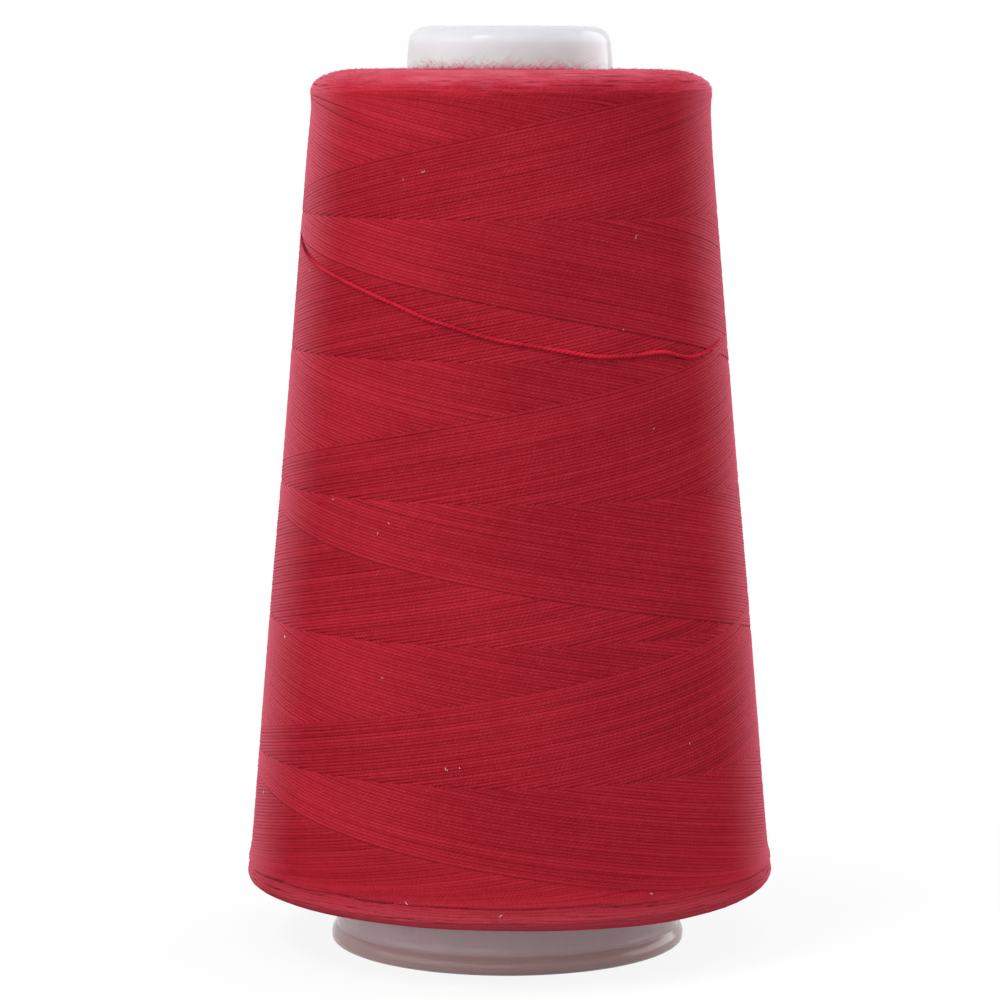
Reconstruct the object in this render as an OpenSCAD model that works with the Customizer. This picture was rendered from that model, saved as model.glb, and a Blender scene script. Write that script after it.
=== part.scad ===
// Cone of sewing thread: a moulded tapered core, one thread wound crosswise on it in a package
// with rounded shoulders, and the thread's running end lying loose round the package.
// Millimetres, +Z up. The origin is the centre of the foot, on the surface that the cone stands on.

/* [Cone] */
// Height from the foot to the top of the nose
cone_h = 108; // [107:0.5:112]
// Half angle of the cone's taper, in degrees
cone_taper = 4.33; // [4.2:0.01:4.4]
// Outer radius of the tapered shell where it leaves the neck
shell_r = 19.3; // [19:0.1:19.5]
// Wall thickness of the moulding
wall = 1.2; // [1:0.1:1.4]
// Radius of the outer corner of the nose
nose_round = 2.2; // [1.5:0.1:2.4]

/* [Foot and neck] */
// Radius of the foot ring
foot_r = 20.8; // [20.4:0.1:22]
// Height of the foot ring
foot_h = 2; // [1.5:0.1:2.5]
// Radius of the plain neck between the foot and the thread
neck_r = 19.5; // [19.5:0.1:20]
// Height of the top of the neck, where the thread begins
neck_top = 7; // [6:0.1:7]

/* [Spindle hole] */
// Radius of the hole in the nose, for a spool pin or a stand's spindle
bore_r = 8; // [7.5:0.1:8.2]
// Depth of the collar round the hole
collar_h = 7; // [5:0.1:8]
// Radius of the hole's rounded mouth
mouth_round = 0.8; // [0.4:0.1:1]

/* [Thread package] */
// Length of the wound package along the cone
package_h = 96; // [95:0.5:97]
// Radius of the package at its lower edge
package_r_low = 31.2; // [30.5:0.1:32]
// Radius of the package at its upper shoulder
package_r_high = 23.5; // [23:0.1:24]
// Width of the rounded upper shoulder
shoulder_w = 5.2; // [4:0.1:6]
// Height of the rounded upper shoulder
shoulder_h = 2.4; // [2:0.1:2.6]
// Radius of the rounded lower edge
hem_round = 1.6; // [1:0.1:2]

/* [Thread] */
// Diameter of the thread
thread_d = 0.5; // [0.4:0.05:0.55]
// Clear gap between strands of the outer layer where they cross
cross_gap = 0.46; // [0.44:0.01:0.6]

/* [Hidden] */
$fn = 96;

plastic = [0.88, 0.86, 0.85];
thread_red = [0.61, 0.11, 0.16];
thread_dark = [0.5, 0.07, 0.12];

// Heights and slopes of the package's straight side.
package_top = neck_top + package_h;
hem_z = neck_top + hem_round;
shoulder_z = package_top - shoulder_h;
package_slope = (package_r_low - package_r_high) / (shoulder_z - hem_z);

// The cone's slope, its small edge radius, and the fine clearance under the thread.
cone_slope = tan(cone_taper);
edge_r = 0.5;
rest_gap = 0.05;

// The outer layer: strands that climb lie on the core, and strands that come down lie over them.
// A strand is straight between its rings, so it dips towards the core by ring_dip half way.
ring_step = 15;
sides = 6;
ring_dip = package_r_low * (1 - cos(ring_step / 2));
climb_lift = thread_d / 2 + ring_dip + rest_gap;
fall_lift = climb_lift + thread_d + cross_gap;
layer = fall_lift + thread_d / 2;

// The path of the outer layer, measured by the angle that the cone has turned. One run from edge to
// edge takes turns_per_run, so that each pair of runs comes back a quarter turn on and strands cross
// on their rings. The path turns back softly within turn_zone of each edge, and it ends on its eighth
// run, last_angle past the upper edge. It starts start_angle round the package.
turns_per_run = 2.875;
run_angle = 360 * turns_per_run;
turn_zone = 30;
path_low = neck_top + 0.2;
path_high = package_top - 0.8;
last_angle = 165;
path_end = 7 * run_angle + last_angle;
start_angle = -60;

// The running end. Each point is [angle round the package, height]; its rest on the package follows.
loose_route = [
    [160, 86.2], [168, 85.8], [176, 85.5], [184, 85.1], [190, 84.5], [196, 83.6], [203, 82.2],
    [210, 81], [218, 80], [227, 78.9], [236, 77.7], [245, 76.2], [254, 75], [263, 73.8], [272, 73],
    [280, 72.4], [288, 71.7], [295, 71.3], [303, 71.4], [311, 71.6], [318, 71.1], [324, 70.8],
    [330, 71.3], [338, 72.2], [347, 73], [356, 73.8]
];
loose_sides = 8;
loose_steps = 3;
loose_rise = 10;
loose_lift = thread_d / 2 + rest_gap;

// Radius of the cone's tapered shell and of the whole package at a height.
function shell_r_at(z) = shell_r - cone_slope * (z - neck_top);
function package_r_at(z) = package_r_low - package_slope * (z - hem_z);

// Point at an angle round the axis.
function polar(r, angle, z) = [r * cos(angle), r * sin(angle), z];
function unit(v) = v / norm(v);
function mix(a, b, t) = a + (b - a) * t;

// Quarter of an ellipse from start to end degrees, as [radius, height] points.
function corner(r, z, w, h, start, end, steps) =
    [for (i = [0:steps]) let (a = mix(start, end, i / steps)) [r + w * cos(a), z + h * sin(a)]];

// Height of the path at a turned angle: a saw-tooth between the two edges with soft turning points.
function saw(angle) = let (a = angle % (2 * run_angle)) a < run_angle ? a : 2 * run_angle - a;
function soft(s) = s < turn_zone ? (s * s / turn_zone + turn_zone) / 2 : s;
function soft_saw(angle) = let (s = saw(angle))
    s < run_angle / 2 ? soft(s) : run_angle - soft(run_angle - s);
function path_z(angle) = mix(path_low, path_high, soft_saw(angle) / run_angle);

// How far the path lies above the core: it changes layer within the turning zones.
function blend(t) = let (c = min(max(t, 0), 1)) c * c * (3 - 2 * c);
function path_lift(angle) = let (a = (angle + turn_zone) % (2 * run_angle))
    a < run_angle
    ? mix(fall_lift, climb_lift, blend(a / (2 * turn_zone)))
    : mix(climb_lift, fall_lift, blend((a - run_angle) / (2 * turn_zone)));
function path_point(angle) = let (z = path_z(angle))
    polar(package_r_at(z) - layer + path_lift(angle), start_angle + angle, z);

// The thread's first end stands square on the core for one diameter, then bends over to the path.
path_start = path_point(0);
side_normal = unit(polar(1, start_angle, package_slope));
start_way = unit(path_point(ring_step) - path_start);
start_foot = polar(package_r_at(path_start[2]) - layer, start_angle, path_start[2]);
bend_r = thread_d;
bend_centre = start_foot + side_normal * thread_d + start_way * bend_r;
first_end = concat(
    [start_foot],
    [for (a = [0:22.5:90]) bend_centre - start_way * bend_r * cos(a) + side_normal * bend_r * sin(a)]
);

// Its last end runs straight for one diameter and hands over to the running end.
end_way = unit(path_point(path_end) - path_point(path_end - 1));
last_end = path_point(path_end) + end_way * thread_d;
path = concat(first_end, [for (a = [ring_step:ring_step:path_end]) path_point(a)], [last_end]);

// The running end leaves straight, rises onto the package within loose_rise degrees and lies on it.
function loose_point(p) = let (rise = blend((p[0] - (start_angle + path_end) % 360) / loose_rise))
    polar(package_r_at(p[1]) + mix(-thread_d / 2, loose_lift, rise), p[0], p[1]);
loose_knots = concat(
    [last_end, last_end + end_way * 2 * thread_d],
    [for (p = loose_route) loose_point(p)]
);

// A smooth curve through all the knots.
function curve_point(a, b, c, d, t) =
    (2 * b + (c - a) * t + (2 * a - 5 * b + 4 * c - d) * t * t + (3 * b - a - 3 * c + d) * t * t * t) / 2;
function curve(k, steps) = let (last = len(k) - 1) concat(
    [k[0]],
    [for (i = [1:last - 1], j = [0:steps - 1])
        curve_point(k[i - 1], k[i], k[i + 1], k[min(i + 2, last)], j / steps)],
    [k[last]]
);
loose_path = curve(loose_knots, loose_steps);

// Length of a path, and the least clear gap of a thread to itself, measured on the path's points.
function path_length(p, i = 1, total = 0) =
    i == len(p) ? total : path_length(p, i + 1, total + norm(p[i] - p[i - 1]));
function least_gap(p, skip = 8) =
    min([for (i = [0:len(p) - skip - 1], j = [i + skip:len(p) - 1]) norm(p[i] - p[j])]) - thread_d;
function gap_between(p, q) = min([for (a = p, b = q) norm(a - b)]) - thread_d;

echo(loops = len(path) * ring_step / 360, rings = len(path), least_gap_mm = least_gap(path));
echo(loose_length_mm = path_length(loose_path), loose_rings = len(loose_path));
echo(loose_gap_mm = gap_between([for (i = [4:len(loose_path) - 1]) loose_path[i]], path));

// A tube swept along a path: one ring of corners to each point, triangles between, flat ends.
module tube(p, r, n) {
    last = len(p) - 1;
    rings = [for (i = [0:last])
        let (way = unit(p[min(i + 1, last)] - p[max(i - 1, 0)]),
            up = unit([0, 0, 1] - way * way[2]),
            side = cross(way, up))
        for (k = [0:n - 1]) p[i] + r * (up * cos(360 * k / n) + side * sin(360 * k / n))];
    walls = [for (i = [0:last - 1], k = [0:n - 1])
        let (a = i * n + k, b = i * n + (k + 1) % n)
        for (f = [[a, b, b + n], [a, b + n, a + n]]) f];
    start_cap = [for (k = [1:n - 2]) [0, k + 1, k]];
    end_cap = [for (k = [1:n - 2]) [last * n, last * n + k, last * n + k + 1]];
    polyhedron(rings, concat(walls, start_cap, end_cap), convexity = 12);
}

// The moulded core: foot ring, neck, tapered shell and a rounded nose with a collared hole.
module cone() {
    shell_top = cone_h - nose_round;
    nose_r = shell_r_at(shell_top);
    crown = cone_h - 1.5 * wall;
    outline = concat(
        corner(foot_r - edge_r, edge_r, edge_r, edge_r, -90, 0, 2),
        corner(foot_r - edge_r, foot_h - edge_r, edge_r, edge_r, 0, 90, 1),
        [[neck_r, foot_h], [neck_r, neck_top], [shell_r, neck_top]],
        corner(nose_r - nose_round, shell_top, nose_round, nose_round, 0, 90, 4),
        corner(bore_r + mouth_round, cone_h - mouth_round, mouth_round, mouth_round, 90, 180, 3),
        [[bore_r, cone_h - collar_h], [bore_r + wall, cone_h - collar_h], [bore_r + wall, crown]],
        [[shell_r_at(crown) - wall - edge_r, crown], [shell_r_at(crown - edge_r) - wall, crown - edge_r]],
        [[shell_r_at(0) - wall, 0]]
    );
    color(plastic) rotate_extrude() polygon(outline);
}

// The wound thread under its outer layer, as one plain body.
module thread_core() {
    low_r = package_r_low - layer;
    high_r = package_r_high - layer;
    outline = concat(
        [[shell_r_at(neck_top) + rest_gap, neck_top]],
        corner(low_r - hem_round, hem_z, hem_round, hem_round, -90, 0, 2),
        corner(high_r - shoulder_w, shoulder_z, shoulder_w, shoulder_h, 0, 90, 4),
        [[shell_r_at(package_top) + rest_gap, package_top]]
    );
    color(thread_dark) rotate_extrude() polygon(outline);
}

// The last runs of the winding, one unbroken thread laid crosswise from edge to edge.
module outer_winding() {
    color(thread_red) tube(path, thread_d / 2, sides);
}

// The running end, lying loose across the package.
module loose_thread() {
    color(thread_red) tube(loose_path, thread_d / 2, loose_sides);
}

cone();
thread_core();
outer_winding();
loose_thread();
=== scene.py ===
"""A cone of sewing thread, dressed round its CAD frame.

Metres, +Z up, with the origin at the centre of the foot.  An azimuth is an angle round the axis in
degrees, anticlockwise seen from above, so that 270 faces the camera.
"""

from __future__ import annotations

import logging
import math
from collections.abc import Callable
from dataclasses import dataclass, field
from enum import Enum

import bmesh
import bpy
import numpy as np
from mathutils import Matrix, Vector

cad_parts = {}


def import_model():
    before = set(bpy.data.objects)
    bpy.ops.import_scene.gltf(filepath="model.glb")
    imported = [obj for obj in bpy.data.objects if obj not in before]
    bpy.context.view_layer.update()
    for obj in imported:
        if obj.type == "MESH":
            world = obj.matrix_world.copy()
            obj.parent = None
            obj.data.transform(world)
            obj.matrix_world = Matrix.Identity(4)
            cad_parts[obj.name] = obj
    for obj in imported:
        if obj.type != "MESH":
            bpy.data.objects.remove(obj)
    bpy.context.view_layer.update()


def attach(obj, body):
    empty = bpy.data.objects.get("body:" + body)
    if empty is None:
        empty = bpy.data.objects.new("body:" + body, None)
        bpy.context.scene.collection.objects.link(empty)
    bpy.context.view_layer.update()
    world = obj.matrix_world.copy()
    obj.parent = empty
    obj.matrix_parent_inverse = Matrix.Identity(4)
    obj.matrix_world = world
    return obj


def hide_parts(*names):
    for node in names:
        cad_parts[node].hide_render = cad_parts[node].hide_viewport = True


LOG = logging.getLogger("thread_cone")
BODY = "root"
FULL_TURN = 360.0
TINY = 1e-9
SMOOTH_ANGLE = math.radians(35)

Socket = bpy.types.NodeSocket
Outputs = bpy.types.bpy_prop_collection
Tree = bpy.types.NodeTree
Colour = tuple[float, float, float]
Point = tuple[float, float, float]
Span = tuple[float, float]
Table = tuple[tuple[float, float], ...]


class Slot(Enum):
    """Material slots of the record."""

    PLASTIC = "cone_plastic"
    THREAD = "thread"


# ---------------------------------------------------------------- small helpers


def blend(t: np.ndarray) -> np.ndarray:
    """Smooth step from 0 to 1.

    Args:
        t: Values, clipped to 0..1.

    Returns:
        The eased values.
    """
    c = np.clip(t, 0.0, 1.0)
    return c * c * (3 - 2 * c)


def rise(value: np.ndarray, start: float, over: float) -> np.ndarray:
    """Smooth step that begins at one value and is done a given length later.

    Args:
        value: Values.
        start: Where the step begins.
        over: Length that it takes.

    Returns:
        0 up to the start, and 1 from the step's end on.
    """
    return blend((value - start) / over)


def unit(v: np.ndarray) -> np.ndarray:
    """Scales vectors along the last axis to length 1.

    Args:
        v: Array of vectors.

    Returns:
        The unit vectors.
    """
    return v / np.linalg.norm(v, axis=-1, keepdims=True)


def polar(r: np.ndarray, azimuth: np.ndarray, z: np.ndarray) -> np.ndarray:
    """Points at azimuths round the axis.

    Args:
        r: Distances from the axis.
        azimuth: Angles in degrees.
        z: Heights.

    Returns:
        Array of points, one row each.
    """
    a = np.radians(azimuth)
    r, a, z = np.broadcast_arrays(r, a, z)
    return np.stack([r * np.cos(a), r * np.sin(a), z], axis=-1)


def marks_along(points: np.ndarray) -> np.ndarray:
    """Length of a line up to each of its points.

    Args:
        points: The points, one row each.

    Returns:
        The lengths, which begin with 0.
    """
    return np.concatenate([[0.0], np.cumsum(np.linalg.norm(np.diff(points, axis=0), axis=1))])


def apart(azimuth: float, other: float) -> float:
    """Angle between two azimuths.

    Args:
        azimuth: The one, in degrees.
        other: The other.

    Returns:
        The angle, from 0 to 180.
    """
    return abs((azimuth - other + FULL_TURN / 2) % FULL_TURN - FULL_TURN / 2)


def wander(rng: np.random.Generator, at: np.ndarray, step: float) -> np.ndarray:
    """Smooth random values along a length.

    Args:
        rng: Seeded source of random numbers.
        at: Places along the length, from 0 up.
        step: Distance between the random knots.

    Returns:
        Values with a spread of about 1.
    """
    knots = rng.normal(size=int(np.max(at) / step) + 3)
    low = np.floor(at / step).astype(int)
    t = blend(at / step - low)
    return knots[low] * (1 - t) + knots[low + 1] * t


def stir(rng: np.random.Generator, at: np.ndarray, *waves: Span) -> np.ndarray:
    """Smooth random values of one or more sizes, added up.

    Args:
        rng: Seeded source of random numbers.
        at: Places along the length, from 0 up.
        *waves: Spread and distance between the knots of each.

    Returns:
        The values.
    """
    return sum(spread * wander(rng, at, step) for spread, step in waves)


def deselect_all() -> None:
    """Leaves object mode with nothing selected."""
    if bpy.context.object and bpy.context.object.mode != "OBJECT":
        bpy.ops.object.mode_set(mode="OBJECT")
    bpy.ops.object.select_all(action="DESELECT")


def bend(piece: bpy.types.Object, move: Callable[[np.ndarray], np.ndarray]) -> None:
    """Moves a piece's points.

    Args:
        piece: The piece.
        move: Takes all the points, one row each, and gives their new places.
    """
    points = np.array([vertex.co for vertex in piece.data.vertices])
    piece.data.vertices.foreach_set("co", move(points).ravel())
    piece.data.update()


def report(piece: bpy.types.Object) -> None:
    """Logs a finished piece.

    Args:
        piece: The piece.
    """
    LOG.info("%s: %d faces on %s", piece.name, len(piece.data.polygons), BODY)


# ---------------------------------------------------------------- strands


@dataclass
class StrandMesh:
    """Collects swept strands of fibre or thread and makes them one mesh.

    The mesh's UV map runs along each strand in turns of its twist, and once round it.  Its point
    attribute "tone" holds how light or dark the strand is.  The first corner of a ring lies a share
    of a side, "turn", past the outward direction.
    """

    sides: int
    turn: float = 0.0
    points: list[np.ndarray] = field(default_factory=list)
    faces: list[np.ndarray] = field(default_factory=list)
    caps: list[np.ndarray] = field(default_factory=list)
    coords: list[np.ndarray] = field(default_factory=list)
    tones: list[np.ndarray] = field(default_factory=list)
    used: int = 0

    def add(
        self,
        centres: np.ndarray,
        outward: np.ndarray,
        radii: np.ndarray,
        tone: np.ndarray,
        twist_length: float,
        start_turns: float | np.ndarray = 0.0,
    ) -> None:
        """Adds one closed strand.

        Args:
            centres: The line that it follows, one point to a ring.
            outward: Direction of each ring's first corner.
            radii: Radius of each ring, or of each corner of each ring.
            tone: Tone of each ring.
            twist_length: Length of one turn of the twist.
            start_turns: Turns of twist to add, for the whole strand or for each ring.
        """
        rings, sides = len(centres), self.sides
        way = unit(np.gradient(centres, axis=0))
        first = unit(outward - way * np.sum(outward * way, axis=1, keepdims=True))
        second = np.cross(way, first)
        angle = 2 * math.pi * (np.arange(sides) + self.turn) / sides
        spoke = first[:, None] * np.cos(angle)[None, :, None] + second[:, None] * np.sin(angle)[None, :, None]
        reach = np.broadcast_to(radii if np.ndim(radii) == 2 else np.reshape(radii, (-1, 1)), (rings, sides))
        self.points.append((centres[:, None] + spoke * reach[:, :, None]).reshape(-1, 3))

        ring = np.arange(rings - 1)[:, None] * sides
        corner = np.arange(sides)[None, :]
        after = (corner + 1) % sides
        quads = np.stack([ring + corner, ring + after, ring + sides + after, ring + sides + corner], axis=-1)
        self.faces.append(quads.reshape(-1, 4) + self.used)
        ends = np.stack([np.arange(sides)[::-1], (rings - 1) * sides + np.arange(sides)])
        self.caps.append(ends + self.used)

        u = start_turns + marks_along(centres) / twist_length
        low, high = np.broadcast_arrays(u[:-1, None], corner)[0], np.broadcast_arrays(u[1:, None], corner)[0]
        share = (corner + self.turn) / sides
        left, right = np.broadcast_to(share, low.shape), np.broadcast_to(share + 1 / sides, low.shape)
        loops = np.stack([low, left, low, right, high, right, high, left], axis=-1)
        self.coords.append(loops.reshape(-1, 2))
        self.tones.append(np.repeat(np.broadcast_to(tone, (rings,)), sides))
        self.used += rings * sides

    def build(self, name: str, material: bpy.types.Material) -> bpy.types.Object:
        """Makes the collected strands one object.

        Args:
            name: Name of the piece.
            material: Its finish.

        Returns:
            The new object.
        """
        points, quads = np.concatenate(self.points), np.concatenate(self.faces)
        caps = np.concatenate(self.caps)
        mesh = bpy.data.meshes.new(name)
        mesh.vertices.add(len(points))
        mesh.vertices.foreach_set("co", points.astype(np.float32).ravel())
        corners = np.concatenate([quads.ravel(), caps.ravel()]).astype(np.int32)
        mesh.loops.add(len(corners))
        mesh.loops.foreach_set("vertex_index", corners)
        quad_starts = np.arange(len(quads)) * quads.shape[1]
        cap_starts = quads.size + np.arange(len(caps)) * self.sides
        starts = np.concatenate([quad_starts, cap_starts]).astype(np.int32)
        mesh.polygons.add(len(starts))
        mesh.polygons.foreach_set("loop_start", starts)
        coords = np.concatenate([np.concatenate(self.coords), np.zeros((caps.size, 2))])
        mesh.uv_layers.new(name="along").data.foreach_set("uv", coords.astype(np.float32).ravel())
        mesh.attributes.new("tone", "FLOAT", "POINT").data.foreach_set(
            "value", np.concatenate(self.tones).astype(np.float32)
        )
        mesh.update(calc_edges=True)
        mesh.shade_smooth()
        mesh.materials.append(material)
        piece = bpy.data.objects.new(name, mesh)
        bpy.context.scene.collection.objects.link(piece)
        return piece


# ---------------------------------------------------------------- finishes


def shader(tree: Tree, kind: str, **values: object) -> bpy.types.Node:
    """Adds a node and sets its sockets and properties.

    Args:
        tree: The node tree.
        kind: The node's type.
        **values: Properties by name, or sockets by name with spaces as underscores.  A socket takes
            a value or another node's output.

    Returns:
        The new node.
    """
    made = tree.nodes.new(kind)
    for key, value in values.items():
        if hasattr(made, key):
            setattr(made, key, value)
            continue
        socket = made.inputs[int(key[1:])] if key[1:].isdigit() else made.inputs[key.replace("_", " ")]
        if isinstance(value, Socket):
            tree.links.new(value, socket)
        else:
            socket.default_value = value
    return made


def maths(tree: Tree, operation: str, *values: float | Socket, clamp: bool = False) -> Socket:
    """Adds a Math node.

    Args:
        tree: The node tree.
        operation: What it does.
        *values: Its numbers, or other nodes' outputs.
        clamp: Whether the result is kept between 0 and 1.

    Returns:
        Its output.
    """
    sockets = {f"_{number}": value for number, value in enumerate(values)}
    return shader(tree, "ShaderNodeMath", operation=operation, use_clamp=clamp, **sockets).outputs[0]


def ramp(
    tree: Tree,
    value: Socket,
    ends: Span = (0.0, 1.0),
    low: float = 0.0,
    high: float = 1.0,
    soft: bool = True,
) -> Socket:
    """Adds a Map Range node.

    Args:
        tree: The node tree.
        value: The output that drives it.
        ends: The values at which it starts and ends.
        low: Result at the start.
        high: Result at the end.
        soft: Whether it eases in and out.

    Returns:
        Its output.
    """
    style = "SMOOTHSTEP" if soft else "LINEAR"
    return shader(
        tree, "ShaderNodeMapRange", interpolation_type=style,
        _0=value, _1=ends[0], _2=ends[1], _3=low, _4=high,
    ).outputs[0]


def mix(tree: Tree, share: Socket, first: Colour | Socket, second: Colour | Socket) -> Socket:
    """Adds a node that mixes two colours.

    Args:
        tree: The node tree.
        share: Share of the second colour.
        first: The first, as red, green and blue or as another node's output.
        second: The second.

    Returns:
        Its output.
    """
    ends = [end if isinstance(end, Socket) else (*end, 1.0) for end in (first, second)]
    return shader(tree, "ShaderNodeMix", data_type="RGBA", _0=share, _6=ends[0], _7=ends[1]).outputs[2]


def noise(tree: Tree, place: Socket, scale: float | Socket, detail: float) -> Socket:
    """Adds a Noise Texture node.

    Args:
        tree: The node tree.
        place: Output of the coordinates.
        scale: How fine it is.
        detail: How many finer waves it adds.

    Returns:
        Its output, from 0 to 1.
    """
    return shader(tree, "ShaderNodeTexNoise", Vector=place, Scale=scale, Detail=detail).outputs["Fac"]


def start_group(name: str, inputs: dict[str, tuple[str, object]], outputs: list[str]) -> Tree:
    """Starts a shader node group.

    Args:
        name: The group's name.
        inputs: Socket type and default value by name.
        outputs: Names of the number outputs.

    Returns:
        The group's tree, with its Group Input and Group Output nodes.
    """
    tree = bpy.data.node_groups.new(name, "ShaderNodeTree")
    for title, (kind, default) in inputs.items():
        socket = tree.interface.new_socket(title, in_out="INPUT", socket_type=kind)
        if default is not None:
            socket.default_value = default
    for title in outputs:
        tree.interface.new_socket(title, in_out="OUTPUT", socket_type="NodeSocketFloat")
    tree.nodes.new("NodeGroupInput").name = "in"
    tree.nodes.new("NodeGroupOutput").name = "out"
    return tree


def end_group(tree: Tree, results: dict[str, Socket]) -> None:
    """Links results to a group's outputs.

    Args:
        tree: The group's tree.
        results: The output of the node that makes each, by the result's name.
    """
    for title, result in results.items():
        tree.links.new(result, tree.nodes["out"].inputs[title])


class Groups:
    """Shader node groups that more than one finish uses, each made once."""

    made: dict[str, Tree] = {}
    # Ranges of the plies' height, which is 0 between the plies and 1 on a ply's back.
    groove: Span = (0.0, 0.55)
    crest: Span = (0.72, 1.0)
    # Ranges of the cosine of the angle from straight outwards.
    crown: Span = (0.68, 1.0)
    outside: Span = (-0.2, 0.8)
    coarse_detail: float = 3.0
    fine_detail: float = 4.0

    @classmethod
    def ply_twist(cls) -> Tree:
        """Two plies twisted together.

        Returns:
            A group that turns a strand's UV into Height, with its top on a ply's back, Groove,
            which is 1 between the plies, Crown, which is 1 where a ply's back faces outwards, and
            Outside, which is 1 on the strand's outward half.
        """
        if "ply_twist" not in cls.made:
            masks = ["Height", "Groove", "Crown", "Outside"]
            tree = start_group("ply_twist", {"UV": ("NodeSocketVector", None)}, masks)
            parts = shader(tree, "ShaderNodeSeparateXYZ", Vector=tree.nodes["in"].outputs["UV"])
            along, around = parts.outputs[0], parts.outputs[1]
            phase = maths(tree, "MULTIPLY", maths(tree, "ADD", along, around), 2 * math.pi)
            back = maths(tree, "ABSOLUTE", maths(tree, "COSINE", phase))
            facing = maths(tree, "COSINE", maths(tree, "MULTIPLY", around, 2 * math.pi))
            crown = maths(tree, "MULTIPLY", ramp(tree, back, cls.crest), ramp(tree, facing, cls.crown))
            end_group(tree, {
                "Height": back,
                "Groove": ramp(tree, back, cls.groove, 1.0, 0.0),
                "Crown": crown,
                "Outside": ramp(tree, facing, cls.outside),
            })
            cls.made["ply_twist"] = tree
        return cls.made["ply_twist"]

    @classmethod
    def mottle(cls) -> Tree:
        """Uneven tone of a moulded or spun surface.

        Returns:
            A group that turns Object coordinates into Tone, from -0.5 to 0.5, and Height.
        """
        if "mottle" not in cls.made:
            sockets = {
                "Vector": ("NodeSocketVector", None),
                "Coarse": ("NodeSocketFloat", 100.0),
                "Fine": ("NodeSocketFloat", 900.0),
            }
            tree = start_group("mottle", sockets, ["Tone", "Height"])
            given = tree.nodes["in"].outputs
            broad = noise(tree, given["Vector"], given["Coarse"], cls.coarse_detail)
            close = noise(tree, given["Vector"], given["Fine"], cls.fine_detail)
            tone = maths(tree, "SUBTRACT", maths(tree, "ADD", broad, close), 1.0)
            end_group(tree, {"Tone": tone, "Height": close})
            cls.made["mottle"] = tree
        return cls.made["mottle"]


def use_group(tree: Tree, group: Tree, **values: object) -> bpy.types.Node:
    """Places a shader group in a material.

    Args:
        tree: The material's tree.
        group: The group.
        **values: Its sockets, as in shader().

    Returns:
        The group's node.
    """
    made = tree.nodes.new("ShaderNodeGroup")
    made.node_tree = group
    for key, value in values.items():
        if isinstance(value, Socket):
            tree.links.new(value, made.inputs[key])
        else:
            made.inputs[key].default_value = value
    return made


def new_material(name: str) -> tuple[bpy.types.Material, Tree, bpy.types.Node]:
    """Makes a material with a Principled shader.

    Args:
        name: The material's name.

    Returns:
        The material, its tree and its shader node.
    """
    material = bpy.data.materials.new(name)
    material.use_nodes = True
    tree = material.node_tree
    tree.nodes.clear()
    out = tree.nodes.new("ShaderNodeOutputMaterial")
    surface = tree.nodes.new("ShaderNodeBsdfPrincipled")
    tree.links.new(surface.outputs[0], out.inputs["Surface"])
    return material, tree, surface


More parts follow.
